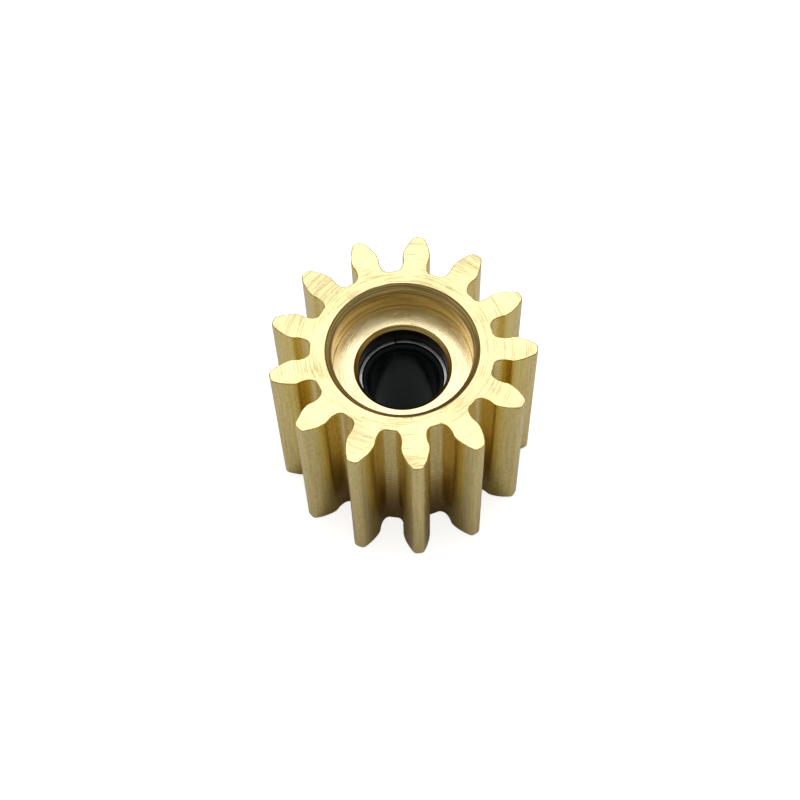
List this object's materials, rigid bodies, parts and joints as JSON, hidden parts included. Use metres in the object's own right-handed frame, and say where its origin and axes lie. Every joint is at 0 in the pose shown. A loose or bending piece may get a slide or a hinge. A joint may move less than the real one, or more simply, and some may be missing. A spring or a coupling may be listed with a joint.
{
  "type": "spur gear",
  "caption": "Brass spur idler gear with a counterbored upper face, turning on a steel-shelled polymer sleeve bearing.",
  "frame": {"origin": "on the gear's axis of rotation, at the lower end of the inner sleeve", "axes": "+Z along the axis of rotation, out of the counterbored face; the middle of one tooth points along -Y"},
  "size_m": [0.015, 0.0148, 0.0114],
  "materials": {
    "brass": "turned and hobbed, bright and unplated",
    "steel": "rolled strip, satin",
    "black_polymer": "smooth, glossy"
  },
  "bodies": {
    "sleeve": {"inner_sleeve": "black_polymer"},
    "gear": {"gear_body": "brass", "bearing_shell": "steel"}
  },
  "joints": [
    {"name": "gear_spin", "type": "hinge", "parent": "sleeve", "child": "gear", "pos_m": [0, 0, 0.0055], "axis": [0, 0, 1], "continuous": true}
  ]
}
